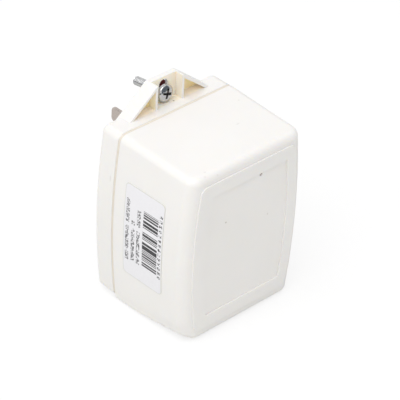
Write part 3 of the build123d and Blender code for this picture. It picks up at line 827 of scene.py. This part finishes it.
# %% Shank with its thread
def shank_rows(angle):
    """The threaded shank, from the head's underside to the tip.

    The radius is the crest's less a depth. The depth follows a triangle wave of the place
    along the screw, in pitches, less the turn round it, so that the ridge winds as a helix.
    It is full where the wave is 0 and none where the wave is past the crest's share.
    """
    along = np.linspace(0.0, screw_length, shank_steps)[:, None] * np.ones_like(angle)
    turn = along / screw_pitch - angle / (2 * math.pi)
    ridge = np.abs(2 * (turn - np.floor(turn)) - 1)
    start = np.clip((along - thread_start) / screw_pitch, 0, 1)
    depth = thread_depth * start * (1 - np.clip(ridge / thread_crest, 0, 1))
    tip = screw_radius - screw_tip + np.maximum(screw_length - along, 0)
    return np.minimum(screw_radius - depth, tip), head_seat + along, depth / thread_depth


# %% The whole screw
def cover_screw(material):
    """Head and shank in the screw's own frame, then laid along its drooping axis."""
    angle = np.linspace(0, 2 * math.pi, columns_round, endpoint=False)[None, :]
    parts = [head_rows(angle), shank_rows(angle)]
    radii, heights, hollow = (np.concatenate(arrays) for arrays in zip(*parts))
    toward = np.array([0, math.cos(screw_droop), -math.sin(screw_droop)])
    across = np.array([1.0, 0.0, 0.0])
    down = np.cross(toward, across)

    def lay(radius, around, height):
        spot = (radius * np.cos(around))[..., None] * across
        spot = spot + (radius * np.sin(around))[..., None] * down
        return spot + height[..., None] * toward + np.array(screw_origin)

    points = lay(radii, angle * np.ones_like(radii), heights)
    crown = lay(np.zeros(1), np.zeros(1), heights[0].min(keepdims=True))[0]
    tip = lay(np.zeros(1), np.zeros(1), heights[-1].max(keepdims=True))[0]
    piece = closed_grid("cover_screw", points, crown, tip, material)
    dust = piece.data.attributes.new("hollow", "FLOAT", "POINT")
    dust.data.foreach_set("value", np.concatenate([hollow.ravel(), [1.0, 0.0]]))
    return piece


# %% [markdown]
# ### Bright nickel
#
# The plating is thin and bright, so the roughness is low. Drawing dies and tumbling leave
# faint scratches and a slightly uneven gloss. The recess and the thread's roots are darkened
# to brown: partly dust, and partly painted shade.

# %% Nickel plate
dust_and_shade_share = 0.45


def bright_nickel():
    """Nickel plate with uneven gloss, tumbling scratches, and brown in the hollows that is partly
    dust and partly painted shade.
    """
    material, tree, place = new_material("bright_nickel_plate")
    patch = clouds(tree, place, size=2.2, detail=4.0)
    scratch = clouds(tree, place, size=0.25, detail=3.0, stretch=(1, 6, 1))
    # Dust and painted shade: the hollow attribute darkens the recess and the thread's roots.
    dust = product(tree, add(tree, "Attribute", out="Fac", attribute_name="hollow"), dust_and_shade_share)
    colour = paint(tree, "#D6D6D6", (patch, "#B9BABC"), (dust, "#45403B"))
    gloss = add(tree, "MapRange", [scratch, *noise_span, 0.05, 0.15])
    surface(tree, colour, gloss, scratch, 0.006, {"Metallic": 1.0})
    return material


screw = cover_screw(bright_nickel())
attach(screw, "root")
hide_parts("mounting_screw")

# %% [markdown]
# ## Washer, blades and retainer
#
# The washer that keeps the screw is red vulcanised fibre: cotton paper pressed hard, with
# short fibres that catch the light. The blades are brass strip, rolled, blanked and nickel
# plated: fine lines run along them, and the plating wears through to yellow on the flanks
# that rub in an outlet. The retainer is grey pressed board.

# %% Fibre, blades and board
def pressed_fibre(name, base, light, size, roughness):
    """Pressed paper: long soft fibres, one lying across the other, in two tones."""
    material, tree, place = new_material(name)
    first = clouds(tree, place, size, detail=4.0, stretch=(7, 1, 1))
    second = clouds(tree, place, size, detail=4.0, stretch=(1, 1, 7))
    felt = product(tree, first, second)
    colour = paint(tree, base, (add(tree, "MapRange", [felt, 0.12, 0.42]), light))
    dull = add(tree, "MapRange", [felt, 0.1, 0.45, roughness + 0.12, roughness])
    surface(tree, colour, dull, felt, 0.03)
    return material


def rolled_strip(name, metal, worn, size, gloss):
    """Rolled strip: fine lines along y, a patchy gloss, and the metal below in worn spots."""
    material, tree, place = new_material(name)
    lines = clouds(tree, place, size, detail=3.0, stretch=(1, 14, 1))
    patch = clouds(tree, place, size=3.5, detail=4.0)
    colour = paint(tree, metal, (add(tree, "MapRange", [patch, 0.58, 0.74, 0.0, 0.55]), worn))
    rough = add(tree, "MapRange", [lines, *noise_span, gloss, gloss + 0.16])
    surface(tree, colour, rough, lines, 0.005, {"Metallic": 1.0})
    return material


red_fibre = pressed_fibre("red_vulcanised_fibre", "#4A1013", "#8A2C2C", size=0.3, roughness=0.38)
grey_board = pressed_fibre("grey_pressed_board", "#5E5A54", "#8B867D", size=0.5, roughness=0.75)
plated_strip = rolled_strip("nickel_plated_strip", "#C4BAB4", "#C0AC88", size=0.12, gloss=0.22)
dress(red_fibre, "fibre_washer")
dress(grey_board, "blade_retainer")
dress(plated_strip, "blade_left", "blade_right")

# %% [markdown]
# ## The core
#
# The core is a stack of silicon steel sheets, each half a millimetre thick, punched into the
# letters E and I and laid along y. The stack is dipped in varnish, which leaves a brown film
# in the gaps and lets a little rust show at the cut edges.

# %% Varnished laminations
sheet_thickness = 0.5
# How far a sheet's face reaches from its middle to each joint, as a share of its thickness.
sheet_face = 0.42


def varnished_laminations():
    """Thin sheets along y: a groove at each joint, brown varnish and specks of rust."""
    material, tree, place = new_material("varnished_silicon_steel")
    # Half a sheet is added so that the outer faces of the stack lie in the middle of a sheet.
    count = add(tree, "Math", [axes(tree, place)[1], sheet_thickness], operation="DIVIDE")
    count = add(tree, "Math", [count, 0.5], operation="ADD")
    part = add(tree, "Math", [count], operation="FRACT")
    face = add(tree, "Math", [part, 0.5, sheet_face], operation="COMPARE")
    sheet = chance(tree, count)
    film = add(tree, "MapRange", [clouds(tree, place, size=4.0, detail=5.0), 0.45, 0.75])
    rust = add(tree, "MapRange", [clouds(tree, place, size=0.9, detail=5.0), 0.66, 0.78])
    steel = paint(tree, "#5B5E63", (sheet, "#787A7D"), (film, "#4A3A2C"), (rust, "#7A4526"))
    colour = paint(tree, "#1E1B19", (face, steel))
    covered = add(tree, "Math", [film, rust], operation="MAXIMUM")
    height = add(tree, "Math", [face, product(tree, sheet, 0.4)], operation="ADD")
    rough = add(tree, "MapRange", [film, 0.0, 1.0, 0.38, 0.2])
    metal = add(tree, "MapRange", [covered, 0.0, 1.0, 0.9, 0.1])
    surface(tree, colour, rough, height, 0.05, {"Metallic": metal})
    return material


dress(varnished_laminations(), "e_lamination_stack", "i_lamination_stack")

# %% [markdown]
# ## The coil
#
# The bobbin is black nylon filled with short glass fibre, which shows as pale flecks. The
# wire is copper with a clear reddish enamel, laid turn beside turn along x. Yellow polyester
# tape goes round each winding, and its laps and trapped air show through the film.

# %% Nylon
def glass_filled_nylon():
    """Black nylon with short pale fibres that lie along the flow."""
    material, tree, place = new_material("glass_filled_nylon")
    fibre = clouds(tree, place, size=0.22, stretch=(5, 1, 1))
    fibre = add(tree, "MapRange", [fibre, 0.66, 0.8])
    flow = clouds(tree, place, size=6.0, detail=3.0)
    colour = paint(tree, "#161617", (flow, "#242425"), (fibre, "#4C4C4E"))
    rough = add(tree, "MapRange", [flow, *noise_span, 0.42, 0.6])
    surface(tree, colour, rough, fibre, 0.01, {"IOR": 1.53})
    return material


dress(glass_filled_nylon(), "bobbin")


# %% Enamelled wire
def wound_copper(name, wire):
    """Round turns side by side along x: the height follows a half circle across each wire.

    With u from -1 to 1 across a wire, the height is the root of 1 - u * u.
    """
    material, tree, place = new_material(name)
    count = add(tree, "Math", [axes(tree, place)[0], wire], operation="DIVIDE")
    part = add(tree, "Math", [count], operation="FRACT")
    u = add(tree, "Math", [product(tree, part, 2.0), 1.0], operation="SUBTRACT")
    square = add(tree, "Math", [1.0, product(tree, u, u)], operation="SUBTRACT")
    height = add(tree, "Math", [square], operation="SQRT")
    enamel = paint(tree, "#B4562A", (chance(tree, count), "#9A4320"))
    # Painted shade: towards the valleys between the turns the colour turns dark brown.
    colour = paint(tree, "#3A170A", (add(tree, "MapRange", [height, 0.2, 0.7]), enamel))
    patch = clouds(tree, place, size=1.5, detail=3.0)
    rough = add(tree, "MapRange", [patch, *noise_span, 0.2, 0.34])
    coat = {"Metallic": 0.85, "Coat Weight": 0.6, "Coat Roughness": 0.1}
    surface(tree, colour, rough, height, wire / 2, coat)
    return material


# The real wires are about 0.15 and 0.6 mm. The fine one is drawn at 0.3 mm so that it shows.
dress(wound_copper("enamelled_fine_wire", wire=0.3), "primary_winding")
dress(wound_copper("enamelled_heavy_wire", wire=0.6), "secondary_winding")

# %% Tape
tape_width, tape_face = 6.1, 0.47


def polyester_tape():
    """Yellow film: a lap line every few millimetres along x, and pale patches of air."""
    material, tree, place = new_material("yellow_polyester_tape")
    count = add(tree, "Math", [axes(tree, place)[0], tape_width], operation="DIVIDE")
    part = add(tree, "Math", [count], operation="FRACT")
    film = add(tree, "Math", [part, 0.5, tape_face], operation="COMPARE")
    air = clouds(tree, place, size=2.5, detail=4.0, stretch=(1, 2, 2))
    air = add(tree, "MapRange", [air, 0.55, 0.7])
    colour = paint(tree, "#A87F1C", (film, paint(tree, "#D9AE2E", (air, "#E8C75A"))))
    wrinkle = clouds(tree, place, size=1.2, detail=3.0, stretch=(1, 4, 4))
    height = add(tree, "Math", [wrinkle, product(tree, film, 0.5)], operation="ADD")
    rough = add(tree, "MapRange", [air, 0.0, 1.0, 0.16, 0.34])
    surface(tree, colour, rough, height, 0.06, {"IOR": 1.57})
    return material


dress(polyester_tape(), "primary_tape", "secondary_tape")

# %% [markdown]
# ## Fuse, sleeve and leads
#
# The thermal fuse is a small tinned can whose lead end is sealed with pale epoxy. A braided
# and varnished glass sleeve covers it: its yarns cross at a slant, one over and one under.
# The leads are stranded wire in soft vinyl, extruded, so faint lines run along them.

# %% Fuse
fuse_seal_x = -6.4


def fuse_can():
    """Tinned can with fine turning lines round it and an epoxy seal at its inner end."""
    material, tree, place = new_material("tinned_fuse_can")
    rings = clouds(tree, place, size=0.2, detail=3.0, stretch=(1, 9, 9))
    seal = [axes(tree, place)[0], fuse_seal_x, fuse_seal_x + 0.05]
    seal = add(tree, "MapRange", seal)
    colour = paint(tree, "#C9C6C0", (rings, "#A9A59D"), (seal, "#B9A98C"))
    rough = add(tree, "MapRange", [rings, *noise_span, 0.24, 0.4])
    metal = add(tree, "MapRange", [seal, 0.0, 1.0, 1.0, 0.0])
    surface(tree, colour, rough, rings, 0.01, {"Metallic": metal})
    return material


dress(fuse_can(), "thermal_fuse")

# %% Braid
yarn_pitch = 0.9


def glass_braid():
    """Two sets of yarns that cross at a slant, with the height of the higher one.

    Each set is a sine of the place along x plus or minus the way round, which is y + z.
    """
    material, tree, place = new_material("varnished_glass_braid")
    x, y, z = axes(tree, place)
    around = add(tree, "Math", [y, z], operation="ADD")
    waves = []
    for sign in (1.0, -1.0):
        slant = add(tree, "Math", [x, product(tree, around, sign)], operation="ADD")
        angle = product(tree, slant, 2 * math.pi / yarn_pitch)
        waves.append(add(tree, "Math", [angle], operation="SINE"))
    weave = add(tree, "Math", waves, operation="MAXIMUM")
    lift = add(tree, "MapRange", [weave, -0.4, 1.0])
    stain = add(tree, "MapRange", [clouds(tree, place, size=2.0, detail=3.0), 0.5, 0.8])
    # Painted shade: where the weave is low, between the yarns, the colour is darker.
    colour = paint(tree, "#A39A83", (lift, "#E9E4D6"), (stain, "#D8C9A0"))
    surface(tree, colour, 0.5, lift, 0.12)
    return material


dress(glass_braid(), "fuse_sleeve")


# %% Vinyl
def soft_vinyl(name, dark, light):
    """Extruded vinyl: faint lines, soft dust and a slightly uneven gloss."""
    material, tree, place = new_material(name)
    dust = clouds(tree, place, size=1.6, detail=4.0)
    drawn = clouds(tree, place, size=0.3, stretch=(6, 1, 1))
    colour = paint(tree, dark, (add(tree, "MapRange", [dust, 0.35, 0.75]), light))
    rough = add(tree, "MapRange", [dust, *noise_span, 0.34, 0.5])
    surface(tree, colour, rough, drawn, 0.01, {"IOR": 1.54})
    return material


yellow_vinyl = soft_vinyl("yellow_vinyl", "#DDB92A", "#C9A11F")
dress(soft_vinyl("black_vinyl", "#131314", "#262627"), "line_lead_in", "line_lead_out")
dress(soft_vinyl("white_vinyl", "#E9E9E5", "#D9D8D2"), "neutral_lead")
dress(yellow_vinyl, "secondary_lead_left", "secondary_lead_right")

# %% [markdown]
# ## Terminals
#
# The output terminals under the case are plates of bright brass strip with steel screws.
# The screws are zinc plated and passivated, which breaks their gloss into small crystals
# with a faint blue and yellow cast.

# %% Brass and zinc
def zinc_plate():
    """Zinc crystals: cells of slightly different tone, gloss and tilt."""
    material, tree, place = new_material("passivated_zinc_plate")
    cells = add(tree, "TexVoronoi", {"Vector": place, "Scale": per(0.5)}, "Color")
    tone, gloss, tilt = add(tree, "SeparateColor", [cells]).node.outputs
    cast = paint(tree, "#B8BDC2", (tone, "#C6C2B2"))
    rough = add(tree, "MapRange", [gloss, 0.0, 1.0, 0.26, 0.46])
    fine = clouds(tree, place, size=0.3, detail=3.0)
    height = add(tree, "Math", [tilt, fine], operation="ADD")
    surface(tree, cast, rough, height, 0.01, {"Metallic": 1.0})
    return material


brass = rolled_strip("rolled_brass_strip", "#CBA557", "#8A6A34", size=0.15, gloss=0.2)
dress(brass, "terminal_plate_left", "terminal_plate_right")
dress(zinc_plate(), "terminal_screws")

# %% [markdown]
# ## Finish
#
# The view transform is set to Standard, so that colours show as they are written.

# %% View transform
scene.view_settings.view_transform = "Standard"
